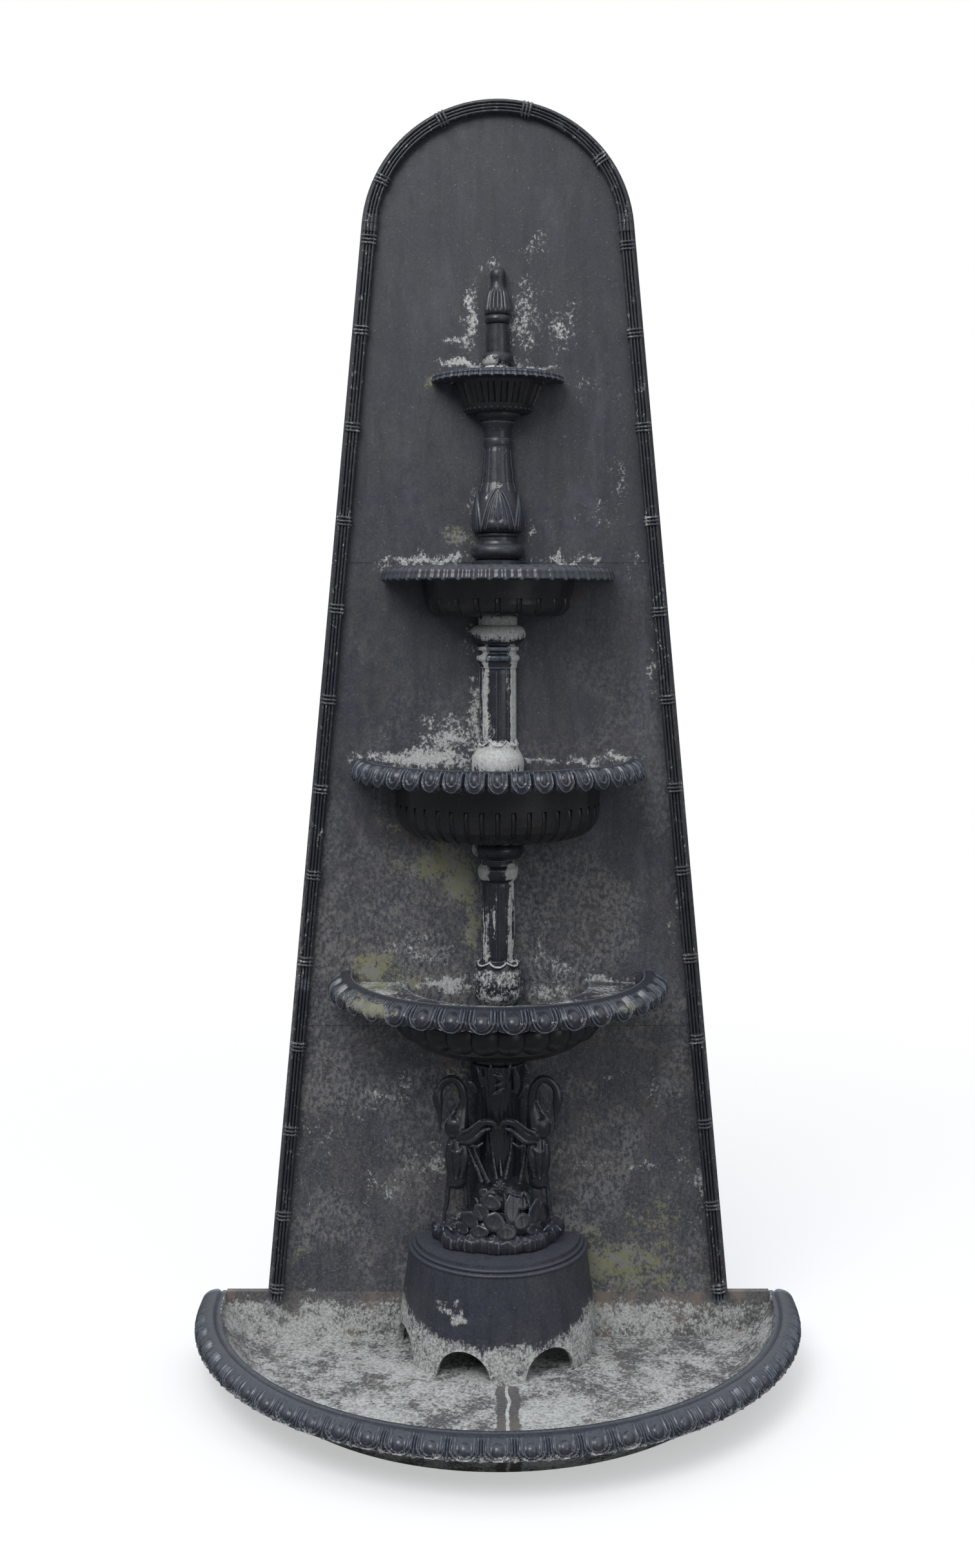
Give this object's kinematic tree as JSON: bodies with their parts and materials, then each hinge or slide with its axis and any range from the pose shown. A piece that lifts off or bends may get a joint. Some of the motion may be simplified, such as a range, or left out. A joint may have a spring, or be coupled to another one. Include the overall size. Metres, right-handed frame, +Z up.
{
  "type": "flat back garden fountain",
  "caption": "Tall wall fountain: arched back panel with a reeded border, half round pool, heron pedestal and four half basins stacked on a riser pipe, each with an egg-and-dart rim.",
  "frame": {"origin": "middle of the bounding box's bottom face, under the pool's flat base", "axes": "+Z up the fountain, +Y towards the wall behind it, so it faces -Y"},
  "size_m": [0.9948, 0.539, 2.066],
  "materials": {
    "panel_iron": "charcoal paint, weathered with grey and brown mottling and limescale above each basin",
    "border_iron": "charcoal paint, worn on the reeds",
    "pool_iron": "charcoal paint under mottled grey-white limescale",
    "rim_iron": "blue-black paint, worn pale on the raised lines",
    "tier_iron": "blue-black paint with white drips",
    "limed_iron": "paint almost hidden by white limescale",
    "pedestal_iron": "blue-black paint with pale wear and lichen",
    "plinth_iron": "blue-black paint, grey-white below the water line",
    "pipe_brass": "plain drawn brass, dulled",
    "fixing_steel": "zinc plated"
  },
  "bodies": {
    "root": {"back_panel_upper": "panel_iron", "back_panel_middle": "panel_iron", "back_panel_lower": "panel_iron", "border_arch": "border_iron", "border_left_upper": "border_iron", "border_left_lower": "border_iron", "border_right_upper": "border_iron", "border_right_lower": "border_iron", "joint_strap_upper": "fixing_steel", "joint_strap_lower": "fixing_steel", "pool_strap": "fixing_steel", "strap_bolts": "fixing_steel", "pool_bowl": "pool_iron", "pool_rim": "rim_iron", "plinth_drum": "plinth_iron", "plinth_cap": "plinth_iron", "rock_base": "pedestal_iron", "bulrush_stem": "pedestal_iron", "heron_left": "pedestal_iron", "heron_right": "pedestal_iron", "water_lily": "pedestal_iron", "basin_4_bowl": "tier_iron", "basin_4_rim": "rim_iron", "column_3_shaft": "tier_iron", "column_3_collar": "limed_iron", "basin_3_bowl": "tier_iron", "basin_3_rim": "rim_iron", "column_2_shaft": "tier_iron", "column_2_collar": "limed_iron", "basin_2_bowl": "tier_iron", "basin_2_rim": "rim_iron", "column_1_base": "tier_iron", "column_1_shaft": "tier_iron", "basin_1_bowl": "tier_iron", "basin_1_rim": "rim_iron", "finial_stem": "tier_iron", "finial_bud": "tier_iron", "riser_pipe": "pipe_brass", "pipe_nut": "pipe_brass", "hose_tail": "pipe_brass", "tier_bolts": "fixing_steel"}
  },
  "joints": []
}
